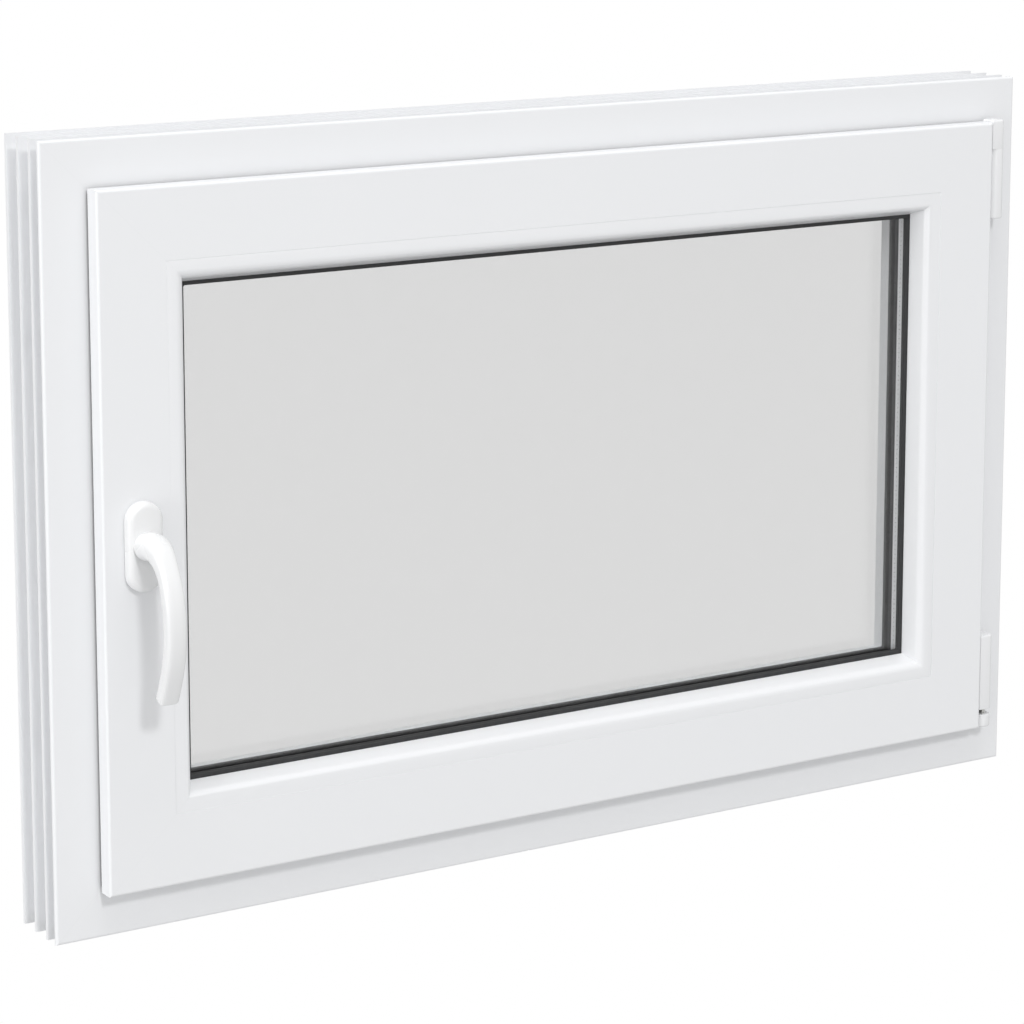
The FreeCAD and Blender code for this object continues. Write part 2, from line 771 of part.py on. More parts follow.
screws = new_body("rosette_screws")
screws.AllowCompound = True
spots = [(0, -screw_spacing / 2), (0, screw_spacing / 2)]
head_back = sash_front - base_depth
head_radius = size("rosette_screw_head", 4)
head_depth = size("rosette_screw_head_depth", 1.5)
screw_bite = size("rosette_screw_bite", 3)
add(screws, "Y", [(spot, head_radius) for spot in spots], head_back - head_depth, head_back)
add(screws, "Y", [(spot, rosette_screw) for spot in spots],
    head_back - head_depth / 2, case_front + screw_bite)
place(screws, 0, handle_inset - width / 2, 0, handle_z)

lever = new_body("handle_lever")
neck_start = rosette_front + collar - corner_flat
grip_root = size("lever_root_overlap", 8)
spindle_seat = size("spindle_seat", 4)
add(lever, "Y", [((0, 0), neck_radius)], sash_front - bend_start, neck_start)
path = lever.newObject("Sketcher::SketchObject", "lever_path")
path.AttachmentSupport = [(next(f for f in lever.Origin.OriginFeatures
                                if f.Role == "YZ_Plane"), "")]
path.MapMode = "FlatFace"
start = (sash_front - bend_start + grip_root, as_size(0))
bend = (sash_front - bend_start, as_size(0))
bow = (sash_front - bow_out, -bow_drop)
tip = (sash_front - tip_out, -tip_drop)


def vector(point):
    return FreeCAD.Vector(point[0].number, point[1].number, 0)


def bent_line(begin, heading, finish):
    """Arc that leaves one point along a heading and ends at another point."""
    side = FreeCAD.Vector(-heading.y, heading.x, 0)
    chord = finish - begin
    radius = chord.Length ** 2 / (2 * chord.dot(side))
    centre = begin + side * radius
    angles = [math.atan2(p.y - centre.y, p.x - centre.x) for p in (begin, finish)]
    circle = Part.Circle(centre, FreeCAD.Vector(0, 0, 1), radius)
    return Part.ArcOfCircle(circle, angles[0] % (2 * math.pi), angles[1] % (2 * math.pi))


path.addGeometry(Part.LineSegment(vector(start), vector(bend)))
first_arc = bent_line(vector(bend), FreeCAD.Vector(-1, 0, 0), vector(bow))
path.addGeometry(first_arc)
spoke = (vector(bow) - first_arc.Center).normalize()
path.addGeometry(bent_line(vector(bow), FreeCAD.Vector(-spoke.y, spoke.x, 0), vector(tip)))
fix_point(path, 0, 1, start)
fix_point(path, 0, 2, bend)
fix_point(path, 1, 2, bow)
fix_point(path, 2, 2, tip)
path.addConstraint(Sketcher.Constraint("Tangent", 0, 2, 1, 1))
path.addConstraint(Sketcher.Constraint("Tangent", 1, 2, 2, 1))
section = sketch_on(lever, "Y", -start[0], "lever_section")
lever_round = size("lever_rounding", 4)
draw(section, [box(-lever_width / 2, lever_width / 2, -lever_thickness / 2,
                   lever_thickness / 2, lever_round)])
pipe = lever.newObject("PartDesign::AdditivePipe", "lever_bar")
pipe.Profile = section
pipe.Spine = (path, ["Edge1", "Edge2", "Edge3"])
half_side = spindle_side / 2
case_wall = size("gearbox_wall", 1.5)
gear_play = size("pinion_side_play", 0.5)
cut(lever, "Y", [box(-half_side, half_side, -half_side, half_side)],
    sash_front - bend_start + spindle_seat, neck_start + REACH)
place(lever, 0, handle_inset - width / 2, 0, handle_z)

spindle = new_body("spindle")
add(spindle, "Y", [box(-half_side, half_side, -half_side, half_side)],
    sash_front - bend_start + spindle_seat, case_back - case_wall)
place(spindle, 0, handle_inset - width / 2, 0, handle_z)

case = new_body("gearbox_case")
add(case, "Y", [box(case_start - handle_inset, case_depth, -case_half, case_half)],
    case_front, case_back)
cut(case, "Y", [((0, 0), pitch_radius + addendum + fit_gap)],
    case_front + case_wall, case_back - case_wall)
cut(case, "Y", [((0, 0), spindle_hole - corner_flat)],
    case_front - REACH, case_front + case_wall + gear_play)
cut(case, "Y", [((0, sign * screw_spacing / 2), rosette_screw) for sign in (-1, 1)],
    case_front - REACH, case_front + screw_bite + REACH)
place(case, 0, handle_inset - width / 2, 0, handle_z)

pinion = new_body("gear_pinion")
pinion_front = case_front + case_wall + gear_play
pinion_back = case_back - case_wall - gear_play
tooth_sink = size("tooth_root_sink", 0.3)
root_radius = pitch_radius - dedendum
tip_radius = pitch_radius + addendum
add(pinion, "Y", [((0, 0), root_radius)], pinion_front, pinion_back)
tooth = add(pinion, "Y", [[(-tip_radius, -tip_half), (-tip_radius, tip_half),
                           (-root_radius + tooth_sink, root_half), (-root_radius + tooth_sink, -root_half)]],
            pinion_front, pinion_back)
pattern = pinion.newObject("PartDesign::PolarPattern", "pinion_pattern")
pattern.Originals = [tooth]
pattern.Axis = (tooth.Profile[0], ["N_Axis"])
pattern.Angle = 360
pattern.setExpression("Occurrences", tooth_count.text)
pinion.Tip = pattern
cut(pinion, "Y", [box(-half_side, half_side, -half_side, half_side)],
    pinion_front - REACH, pinion_back + REACH)
place(pinion, 0, handle_inset - width / 2, 0, handle_z)


# ------------------------------------------------- drive rods and faceplates

rod_gap = size("rod_faceplate_gap", 0.3)
slot_end = size("cam_slot_end", 1)
cam_radius = size("cam_radius", 3.5)
cam_reach = size("cam_reach", 6.5)
corner_leg = size("corner_drive_leg", 60)
rod_end = size("rod_end_inset", 130)
rod_far = size("rod_far_end_inset", 300)
cam_inset = size("lock_cam_inset", 160)
top_cam_inset = size("top_cam_inset", 240)
tilt_cam_inset = size("tilt_cam_inset", 200)
rack_lead = size("rack_lead_teeth", 9.5)
rod_low = sash_edge + faceplate + rod_gap
rod_high = sash_edge + rack_line - dedendum


def rod(name, side, x0, x1, cams):
    """Flat drive rod in the hardware groove, with a round cam at each spot."""
    body = new_body(name)
    add(body, "Z", [box(x0, x1, rod_front, rod_back)], rod_low, rod_high)
    for spot in cams:
        add(body, "Z", [((spot, hardware_middle), cam_radius)],
            sash_edge - cam_reach, rod_high)
    angle, length, x, z = SIDES[side]
    place(body, angle, x, 0, z)
    return body


def faceplate_bar(name, side, x0, x1, cams):
    """Cover strip of the hardware groove, slotted for the cams' travel."""
    body = new_body(name)
    add(body, "Z", [box(x0, x1, hardware_front, hardware_front + hardware_width)],
        sash_edge, sash_edge + faceplate)
    slots = []
    for spot in cams:
        low = spot - cam_radius - slot_end
        high = spot + cam_radius + slot_end + travel
        slots.append(box(low, high, hardware_middle - cam_radius - fit_gap,
                         hardware_middle + cam_radius + fit_gap))
    cut(body, "Z", slots, sash_edge - REACH, sash_edge + faceplate + REACH)
    angle, length, x, z = SIDES[side]
    place(body, angle, x, 0, z)
    return body


# along the lock stile, local +X points down
lock_half = height / 2 - rod_end
lock_cams = [-(height / 2 - cam_inset), height / 2 - cam_inset]
lock = rod("drive_rod_lock", "left", -lock_half, lock_half, lock_cams)
rack_teeth = size("rack_teeth", 13)
rack_start = -tooth_pitch * rack_lead
rack_root = rod_high - tooth_sink
rack_tip = sash_edge + rack_line + addendum
first_tooth = add(lock, "Y", [[
    (rack_start - root_half, rack_root), (rack_start + root_half, rack_root),
    (rack_start + tip_half, rack_tip), (rack_start - tip_half, rack_tip)]],
    pinion_front, pinion_back)
rack = lock.newObject("PartDesign::LinearPattern", "rack_pattern")
rack.Originals = [first_tooth]
rack.Direction = (next(f for f in lock.Origin.OriginFeatures if f.Role == "X_Axis"), [""])
rack.setExpression("Length", (tooth_pitch * (rack_teeth - 1)).text)
rack.setExpression("Occurrences", rack_teeth.text)
lock.Tip = rack
plate_half = height / 2 - sash_edge - corner_leg
faceplate_bar("faceplate_lock", "left", -plate_half, plate_half, lock_cams)

# along the top rail, local +X points to the left
top_near = width / 2 - rod_end
top_far = width / 2 - rod_far
plate_end = width / 2 - sash_edge - corner_leg
top_cams = [width / 2 - top_cam_inset]
rod("drive_rod_top", "top", top_far, top_near, top_cams)
faceplate_bar("faceplate_top", "top", -guide_left, plate_end, top_cams)

# along the bottom rail, local +X points to the right
bottom_cams = [tilt_cam_inset - width / 2]
rod("drive_rod_bottom", "bottom", -top_near, -top_far, bottom_cams)
faceplate_bar("faceplate_bottom", "bottom", -plate_end, plate_end, bottom_cams)

for sign, name in ((-1, "corner_drive_bottom"), (1, "corner_drive_top")):
    body = new_body(name)
    side_x = sash_edge - width / 2
    far_z = sash_edge if sign < 0 else height - sash_edge
    add(body, "Y", [[
        (side_x, far_z), (side_x + corner_leg, far_z),
        (side_x + corner_leg, far_z - sign * faceplate),
        (side_x + faceplate, far_z - sign * faceplate),
        (side_x + faceplate, far_z - sign * corner_leg),
        (side_x, far_z - sign * corner_leg)]],
        hardware_front, hardware_front + hardware_width)


# ------------------------------------------------- strikers on the frame

striker_length = size("striker_length", 56)
striker_plate = size("striker_plate", 2)
lip_gap = size("striker_lip_gap", 1)
lip_thickness = size("striker_lip", 3)


def striker(name, side, spot):
    """Keeper plate in the rebate; its lip stands on the room side of the cam."""
    body = new_body(name)
    x0, x1 = spot - striker_length / 2, spot + striker_length / 2
    lip_back = hardware_middle - cam_radius - lip_gap
    lip_top = sash_edge - cam_reach - lip_gap
    add(body, "X", [[
        (lip_back - lip_thickness, frame_face), (hardware_middle + hardware_width / 2, frame_face),
        (hardware_middle + hardware_width / 2, frame_face + striker_plate),
        (lip_back, frame_face + striker_plate), (lip_back, lip_top),
        (lip_back - lip_thickness, lip_top)]], x0, x1)
    angle, length, x, z = SIDES[side]
    place(body, angle, x, 0, z)


striker("striker_lock_upper", "left", lock_cams[0] + travel / 4)
striker("striker_lock_lower", "left", lock_cams[1] + travel / 4)
striker("striker_top", "top", top_cams[0] + travel / 4)
striker("striker_tilt", "bottom", bottom_cams[0] + travel / 2)


# ------------------------------------------------------- checks and saving

doc.recompute()
faults = []
for obj in doc.Objects:
    if "Invalid" in obj.State or "Error" in obj.State:
        faults.append("%s is %s" % (obj.Name, obj.State))
for body in nodes:
    if body.Shape.isNull() or not body.Shape.isValid() or not body.Shape.Solids:
        faults.append("%s has no sound shape" % body.Name)
if faults:
    raise RuntimeError("; ".join(faults))
for body in nodes:
    body.Shape.exportStep("parts/%s.step" % body.Label)
print("saved %d parts" % len(nodes))
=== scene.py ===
import math

import bmesh
import bpy
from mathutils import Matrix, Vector


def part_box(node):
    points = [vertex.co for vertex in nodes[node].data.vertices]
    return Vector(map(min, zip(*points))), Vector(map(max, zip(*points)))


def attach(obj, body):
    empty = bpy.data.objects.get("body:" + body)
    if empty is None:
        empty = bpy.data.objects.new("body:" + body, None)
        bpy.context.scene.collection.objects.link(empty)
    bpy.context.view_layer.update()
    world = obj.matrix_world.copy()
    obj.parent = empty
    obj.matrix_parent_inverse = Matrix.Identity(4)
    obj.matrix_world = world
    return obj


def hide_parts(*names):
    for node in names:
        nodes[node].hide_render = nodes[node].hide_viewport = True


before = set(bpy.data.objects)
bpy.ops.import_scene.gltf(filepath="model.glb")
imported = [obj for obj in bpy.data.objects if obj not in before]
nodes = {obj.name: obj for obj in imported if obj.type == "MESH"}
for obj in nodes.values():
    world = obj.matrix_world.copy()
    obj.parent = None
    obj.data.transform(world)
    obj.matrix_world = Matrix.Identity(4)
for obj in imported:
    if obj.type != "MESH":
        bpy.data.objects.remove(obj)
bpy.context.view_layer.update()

WIDTH, HEIGHT = 0.9, 0.6


# ---------------------------------------------------------------- outer frame
# Four hollow white PVC bars, welded at their mitres into the frame that is
# screwed into the wall; a steel tube slid into each bar keeps it straight.

def link(tree, start, end):
    tree.links.new(start, end)


def effect_group(name, inputs, outputs):
    """Empty shader group with named sockets and its input and output nodes."""
    group = bpy.data.node_groups.new(name, "ShaderNodeTree")
    for kind, label, value in inputs:
        socket = group.interface.new_socket(label, in_out="INPUT", socket_type=kind)
        if value is not None:
            socket.default_value = value
    for kind, label in outputs:
        group.interface.new_socket(label, in_out="OUTPUT", socket_type=kind)
    return group, group.nodes.new("NodeGroupInput"), group.nodes.new("NodeGroupOutput")


def math_node(tree, operation, first, second=None, clamp=False):
    node = tree.nodes.new("ShaderNodeMath")
    node.operation = operation
    node.use_clamp = clamp
    for index, value in enumerate((first, second)):
        if value is None:
            continue
        if isinstance(value, (int, float)):
            node.inputs[index].default_value = value
        else:
            link(tree, value, node.inputs[index])
    return node.outputs[0]


def surface_wear_group():
    """Fine grain and slow stains, as tone and height."""
    group, ins, outs = effect_group(
        "surface_wear",
        [("NodeSocketVector", "Place", None), ("NodeSocketFloat", "Grain size", 900.0),
         ("NodeSocketFloat", "Stain size", 9.0), ("NodeSocketFloat", "Tone spread", 0.02)],
        [("NodeSocketFloat", "Tone"), ("NodeSocketFloat", "Roughness shift"),
         ("NodeSocketFloat", "Height")])
    grain = group.nodes.new("ShaderNodeTexNoise")
    grain.inputs["Detail"].default_value = 2.0
    link(group, ins.outputs["Place"], grain.inputs["Vector"])
    link(group, ins.outputs["Grain size"], grain.inputs["Scale"])
    stain = group.nodes.new("ShaderNodeTexNoise")
    stain.inputs["Detail"].default_value = 5.0
    link(group, ins.outputs["Place"], stain.inputs["Vector"])
    link(group, ins.outputs["Stain size"], stain.inputs["Scale"])
    centred = math_node(group, "SUBTRACT", stain.outputs["Fac"], 0.5)
    tone = math_node(group, "MULTIPLY", centred, ins.outputs["Tone spread"])
    link(group, math_node(group, "ADD", tone, 1.0), outs.inputs["Tone"])
    shift = math_node(group, "MULTIPLY", centred, 0.12)
    link(group, shift, outs.inputs["Roughness shift"])
    link(group, grain.outputs["Fac"], outs.inputs["Height"])
    return group


def mitre_seam_group():
    """Mask of the weld line that runs diagonally into each corner."""
    group, ins, outs = effect_group(
        "mitre_seam",
        [("NodeSocketVector", "Place", None), ("NodeSocketFloat", "Half width", WIDTH / 2),
         ("NodeSocketFloat", "Half height", HEIGHT / 2), ("NodeSocketFloat", "Seam", 0.0006)],
        [("NodeSocketFloat", "Mask")])
    split = group.nodes.new("ShaderNodeSeparateXYZ")
    link(group, ins.outputs["Place"], split.inputs[0])
    across = math_node(group, "ABSOLUTE", split.outputs["X"])
    across = math_node(group, "SUBTRACT", ins.outputs["Half width"], across)
    upward = math_node(group, "SUBTRACT", split.outputs["Z"], ins.outputs["Half height"])
    upward = math_node(group, "ABSOLUTE", upward)
    upward = math_node(group, "SUBTRACT", ins.outputs["Half height"], upward)
    gap = math_node(group, "SUBTRACT", across, upward)
    gap = math_node(group, "ABSOLUTE", gap)
    share = math_node(group, "DIVIDE", gap, ins.outputs["Seam"])
    link(group, math_node(group, "SUBTRACT", 1.0, share, clamp=True), outs.inputs["Mask"])
    return group


WEAR = surface_wear_group()
SEAM = mitre_seam_group()


def material(name, color, roughness, metallic=0.0, grain=900.0, bump=0.05, tone=0.02,
             stain=9.0, coat=0.0, seam=False):
    """Principled surface with shared wear, and a weld seam where wanted."""
    made = bpy.data.materials.new(name)
    made.use_nodes = True
    tree = made.node_tree
    shader = tree.nodes["Principled BSDF"]
    shader.inputs["Metallic"].default_value = metallic
    shader.inputs["Coat Weight"].default_value = coat
    shader.inputs["Coat Roughness"].default_value = 0.15
    place = tree.nodes.new("ShaderNodeTexCoord")
    wear = tree.nodes.new("ShaderNodeGroup")
    wear.node_tree = WEAR
    wear.inputs["Grain size"].default_value = grain
    wear.inputs["Stain size"].default_value = stain
    wear.inputs["Tone spread"].default_value = tone
    link(tree, place.outputs["Object"], wear.inputs["Place"])
    tint = tree.nodes.new("ShaderNodeVectorMath")
    tint.operation = "SCALE"
    tint.inputs[0].default_value = color
    link(tree, wear.outputs["Tone"], tint.inputs["Scale"])
    paint = tint.outputs[0]
    height = wear.outputs["Height"]
    if seam:
        weld = tree.nodes.new("ShaderNodeGroup")
        weld.node_tree = SEAM
        link(tree, place.outputs["Object"], weld.inputs["Place"])
        darker = math_node(tree, "MULTIPLY", weld.outputs["Mask"], -0.02)
        darker = math_node(tree, "ADD", darker, 1.0)
        weld_tint = tree.nodes.new("ShaderNodeVectorMath")
        weld_tint.operation = "SCALE"
        link(tree, paint, weld_tint.inputs[0])
        link(tree, darker, weld_tint.inputs["Scale"])
        paint = weld_tint.outputs[0]
        dip = math_node(tree, "MULTIPLY", weld.outputs["Mask"], -0.5)
        height = math_node(tree, "ADD", height, dip)
    link(tree, paint, shader.inputs["Base Color"])
    rough = math_node(tree, "ADD", wear.outputs["Roughness shift"], roughness, clamp=True)
    link(tree, rough, shader.inputs["Roughness"])
    bumps = tree.nodes.new("ShaderNodeBump")
    bumps.inputs["Strength"].default_value = bump
    bumps.inputs["Distance"].default_value = 0.0001
    link(tree, height, bumps.inputs["Height"])
    link(tree, bumps.outputs["Normal"], shader.inputs["Normal"])
    return made


def dress(names, surface):
    """Give CAD nodes their material."""
    for name in names:
        nodes[name].data.materials.clear()
        nodes[name].data.materials.append(surface)


def piece(name, mesh, surface, body, slot, *stands_for):
    """Add a finished mesh that rides on a body and may stand for CAD nodes."""
    mesh.name = name
    mesh.materials.clear()
    mesh.materials.append(surface)
    made = bpy.data.objects.new(name, mesh)
    bpy.context.scene.collection.objects.link(made)
    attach(made, body)
    if stands_for:
        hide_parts(*stands_for)
    return made


def outward(mesh, sharp=32):
    """Turn every face of a closed mesh outwards and shade its soft edges."""
    work = bmesh.new()
    work.from_mesh(mesh)
    bmesh.ops.recalc_face_normals(work, faces=work.faces)
    for face in work.faces:
        face.smooth = True
    for edge in work.edges:
        if len(edge.link_faces) == 2 and edge.calc_face_angle(0) > math.radians(sharp):
            edge.smooth = False
    work.to_mesh(mesh)
    work.free()
    return mesh


pvc = material("pvc_white", (0.838, 0.846, 0.861), 0.32, bump=0.03, tone=0.012, seam=True)
zinc = material("zinc_tube", (0.55, 0.57, 0.60), 0.42, metallic=0.9, grain=260, bump=0.15,
                tone=0.25, stain=40)
dress(["frame_sill", "frame_head", "frame_jamb_lock", "frame_jamb_hinge"], pvc)
dress([name for name in nodes if "_steel_" in name], zinc)


# ------------------------------------------------ keepers and frame bearings
# Zinc-plated strikers screwed into the rebate catch the sash's cams; the stay
# bearing and the corner bearing on the right carry its weight.

plated = material("plated_hardware", (0.66, 0.66, 0.63), 0.33, metallic=1.0, grain=700,
                  bump=0.08, tone=0.18, stain=60)
turned = material("turned_steel", (0.60, 0.61, 0.63), 0.22, metallic=1.0, grain=1500,
                  bump=0.05, tone=0.1, stain=80)
STRIKERS = ["striker_lock_upper", "striker_lock_lower", "striker_top", "striker_tilt"]
dress(STRIKERS + ["stay_bearing", "corner_bearing", "pivot_shoe"], plated)
dress(["stay_bearing_pin", "pivot_cross_pin", "spindle", "rosette_screws"], turned)


def node_tree(name, sockets):
    """Geometry node tree with named inputs and one geometry output."""
    tree = bpy.data.node_groups.new(name, "GeometryNodeTree")
    tree.interface.new_socket("Geometry", in_out="INPUT", socket_type="NodeSocketGeometry")
    tree.interface.new_socket("Geometry", in_out="OUTPUT", socket_type="NodeSocketGeometry")
    for kind, label in sockets:
        tree.interface.new_socket(label, in_out="INPUT", socket_type=kind)
    return tree, tree.nodes.new("NodeGroupInput"), tree.nodes.new("NodeGroupOutput")


def finish_tree(tree, ins, outs, geometry):
    """Realize what was placed and give it its material."""
    solid = tree.nodes.new("GeometryNodeRealizeInstances")
    link(tree, geometry, solid.inputs[0])
    paint = tree.nodes.new("GeometryNodeSetMaterial")
    link(tree, solid.outputs[0], paint.inputs["Geometry"])
    link(tree, ins.outputs["Surface"], paint.inputs["Material"])
    link(tree, paint.outputs[0], outs.inputs[0])


def mesh_from_tree(tree, base, values):
    """Evaluate a tree on a base mesh and return the plain mesh it makes."""
    carrier = bpy.data.objects.new("carrier", base)
    bpy.context.scene.collection.objects.link(carrier)
    modifier = carrier.modifiers.new("build", "NODES")
    modifier.node_group = tree
    for item in tree.interface.items_tree:
        if item.in_out == "INPUT" and item.name in values:
            modifier[item.identifier] = values[item.name]
    bpy.context.view_layer.update()
    seen = carrier.evaluated_get(bpy.context.evaluated_depsgraph_get())
    mesh = bpy.data.meshes.new_from_object(seen)
    bpy.data.objects.remove(carrier)
    return mesh


def screw_head_tree():
    """A countersunk head with a cross slot on every point of the base mesh."""
    tree, ins, outs = node_tree("screw_heads", [
        ("NodeSocketFloat", "Radius"), ("NodeSocketFloat", "Height"),
        ("NodeSocketMaterial", "Surface")])
    head = tree.nodes.new("GeometryNodeMeshCone")
    head.inputs["Vertices"].default_value = 32
    link(tree, ins.outputs["Height"], head.inputs["Depth"])
    link(tree, ins.outputs["Radius"], head.inputs["Radius Bottom"])
    top = tree.nodes.new("ShaderNodeMath")
    top.operation = "MULTIPLY"
    top.inputs[1].default_value = 0.7
    link(tree, ins.outputs["Radius"], top.inputs[0])
    link(tree, top.outputs[0], head.inputs["Radius Top"])
    slot = tree.nodes.new("GeometryNodeMeshCube")
    slot.inputs["Size"].default_value = (0.0052, 0.0009, 0.0016)
    turned_slot = tree.nodes.new("GeometryNodeTransform")
    turned_slot.inputs["Rotation"].default_value = (0, 0, math.pi / 2)
    link(tree, slot.outputs["Mesh"], turned_slot.inputs["Geometry"])
    lift = tree.nodes.new("ShaderNodeCombineXYZ")
    link(tree, ins.outputs["Height"], lift.inputs["Z"])
    both = tree.nodes.new("GeometryNodeJoinGeometry")
    link(tree, slot.outputs["Mesh"], both.inputs[0])
    link(tree, turned_slot.outputs[0], both.inputs[0])
    raised = tree.nodes.new("GeometryNodeTransform")
    link(tree, both.outputs[0], raised.inputs["Geometry"])
    link(tree, lift.outputs[0], raised.inputs["Translation"])
    carve = tree.nodes.new("GeometryNodeMeshBoolean")
    carve.operation = "DIFFERENCE"
    link(tree, head.outputs["Mesh"], carve.inputs["Mesh 1"])
    link(tree, raised.outputs[0], carve.inputs["Mesh 2"])
    facing = tree.nodes.new("FunctionNodeAlignEulerToVector")
    facing.axis = "Z"
    normal = tree.nodes.new("GeometryNodeInputNamedAttribute")
    normal.data_type = "FLOAT_VECTOR"
    normal.inputs["Name"].default_value = "facing"
    link(tree, normal.outputs["Attribute"], facing.inputs["Vector"])
    spread = tree.nodes.new("GeometryNodeInstanceOnPoints")
    link(tree, ins.outputs["Geometry"], spread.inputs["Points"])
    link(tree, carve.outputs["Mesh"], spread.inputs["Instance"])
    link(tree, facing.outputs[0], spread.inputs["Rotation"])
    finish_tree(tree, ins, outs, spread.outputs[0])
    return tree


SCREWS = screw_head_tree()


def screws_at(name, spots, facing, radius, body):
    """Screw heads at the given places, all facing one way."""
    base = bpy.data.meshes.new(name + "_spots")
    base.from_pydata(spots, [], [])
    way = base.attributes.new("facing", "FLOAT_VECTOR", "POINT")
    for index in range(len(spots)):
        way.data[index].vector = facing
    mesh = mesh_from_tree(SCREWS, base, {"Radius": radius, "Height": 0.0008, "Surface": turned})
    return piece(name, mesh, turned, body, "bright_steel")


def spread_on(node, axis, side, count, inset=0.008):
    """Evenly spaced places along a node's longest side, on one of its faces."""
    low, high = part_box(node)
    sizes = [high[i] - low[i] for i in range(3)]
    along = sizes.index(max(sizes))
    spots = []
    for step in range(count):
        spot = [(low[i] + high[i]) / 2 for i in range(3)]
        reach = sizes[along] - 2 * inset
        spot[along] = low[along] + inset + reach * step / (count - 1)
        spot[axis] = high[axis] if side > 0 else low[axis]
        spots.append(tuple(spot))
    return spots


REBATE, STRIKER_SCREW = 0.046, 0.0035
screws_at("striker_screws_lock",
          [(REBATE - WIDTH / 2, y, z) for _, y, z in
           spread_on("striker_lock_upper", 0, 1, 2) + spread_on("striker_lock_lower", 0, 1, 2)],
          (1, 0, 0), STRIKER_SCREW, "frame")
screws_at("striker_screws_top",
          [(x, y, HEIGHT - REBATE) for x, y, z in spread_on("striker_top", 2, -1, 2)],
          (0, 0, -1), STRIKER_SCREW, "frame")
screws_at("striker_screws_bottom",
          [(x, y, REBATE) for x, y, z in spread_on("striker_tilt", 2, 1, 2)],
          (0, 0, 1), STRIKER_SCREW, "frame")


# ---------------------------------------------------------------- inner sash
# The moving frame: four welded PVC bars with their own steel tubes, whose
# overlap closes 18 mm proud of the outer frame.

dress(["sash_rail_bottom", "sash_rail_top", "sash_stile_lock", "sash_stile_hinge"], pvc)


# ------------------------------------------------------------------- gaskets
# Black rubber seals: one on the stop, one under the overlap and one each side
# of the glass, every one ending in a soft rounded lip.

rubber = material("gasket_rubber", (0.032, 0.033, 0.034), 0.55, grain=1800, bump=0.2, tone=0.3,
                  stain=25)
dress(["frame_stop_gasket", "overlap_gasket", "glazing_gasket_outer", "bead_gasket",
       "edge_seal"], rubber)


def outline_mesh(inset, y, notch=None):
    """Edges of a rectangle set in from the frame's edge, open at a notch."""
    right, top = WIDTH / 2 - inset, HEIGHT - inset
    corners = [(right, y, top), (-right, y, top), (-right, y, inset), (right, y, inset)]
    mesh = bpy.data.meshes.new("outline")
    if notch:
        corners = [(right, y, notch[1])] + corners + [(right, y, notch[0])]
    count = len(corners)
    edges = [(index, (index + 1) % count) for index in range(count - (1 if notch else 0))]
    mesh.from_pydata(corners, edges, [])
    return mesh


def lip_tree():
    """A round rubber lip that follows an outline with softened corners."""
    tree, ins, outs = node_tree("rubber_lip", [
        ("NodeSocketFloat", "Corner"), ("NodeSocketFloat", "Lip radius"),
        ("NodeSocketMaterial", "Surface")])
    path = tree.nodes.new("GeometryNodeMeshToCurve")
    link(tree, ins.outputs["Geometry"], path.inputs["Mesh"])
    corner = tree.nodes.new("GeometryNodeFilletCurve")
    corner.mode = "POLY"
    corner.inputs["Count"].default_value = 6
    link(tree, path.outputs[0], corner.inputs["Curve"])
    link(tree, ins.outputs["Corner"], corner.inputs["Radius"])
    section = tree.nodes.new("GeometryNodeCurvePrimitiveCircle")
    section.inputs["Resolution"].default_value = 14
    link(tree, ins.outputs["Lip radius"], section.inputs["Radius"])
    sweep = tree.nodes.new("GeometryNodeCurveToMesh")
    sweep.inputs["Fill Caps"].default_value = True
    link(tree, corner.outputs[0], sweep.inputs["Curve"])
    link(tree, section.outputs["Curve"], sweep.inputs["Profile Curve"])
    smooth = tree.nodes.new("GeometryNodeSetShadeSmooth")
    link(tree, sweep.outputs[0], smooth.inputs["Geometry"])
    finish_tree(tree, ins, outs, smooth.outputs[0])
    return tree


LIP = lip_tree()


def lip(name, inset, y, radius, body, notch=None):
    """Rubber lip round the window, left open where the stay's crank passes."""
    mesh = mesh_from_tree(LIP, outline_mesh(inset, y, notch),
                          {"Corner": radius * 2.2, "Lip radius": radius, "Surface": rubber})
    return piece(name, outward(mesh), rubber, body, "gasket_rubber")


CRANK_PASSAGE = (0.5385, 0.5575)
lip("bead_gasket_lip", inset=0.1124, y=0.0022, radius=0.0014, body="sash")
lip("stop_gasket_lip", inset=0.0590, y=0.0446, radius=0.0011, body="frame")
lip("outer_gasket_lip", inset=0.1088, y=0.0296, radius=0.0011, body="sash")
lip("overlap_gasket_lip", inset=0.0378, y=-0.0023, radius=0.0013, body="sash",
    notch=CRANK_PASSAGE)


# ----------------------------------------------------------------- glazing
# Two 4 mm panes held 16 mm apart by an aluminium spacer with a perforated
# back, sealed at the edge and standing on plastic blocks.

def glass_material():
    """Clear float glass; shadow rays pass straight through it, dimmed."""
    made = bpy.data.materials.new("float_glass")
    made.use_nodes = True
    tree = made.node_tree
    shader = tree.nodes["Principled BSDF"]
    shader.inputs["Transmission Weight"].default_value = 1.0
    shader.inputs["Metallic"].default_value = 0.0
    shader.inputs["IOR"].default_value = 1.5
    shader.inputs["Roughness"].default_value = 0.0
    shader.inputs["Base Color"].default_value = (0.838, 0.838, 0.838, 1)
    see_through = tree.nodes.new("ShaderNodeBsdfTransparent")
    see_through.inputs["Color"].default_value = (0.93, 0.94, 0.94, 1)
    rays = tree.nodes.new("ShaderNodeLightPath")
    choose = tree.nodes.new("ShaderNodeMixShader")
    link(tree, rays.outputs["Is Shadow Ray"], choose.inputs["Fac"])
    link(tree, shader.outputs[0], choose.inputs[1])
    link(tree, see_through.outputs[0], choose.inputs[2])
    link(tree, choose.outputs[0], tree.nodes["Material Output"].inputs["Surface"])
    return made


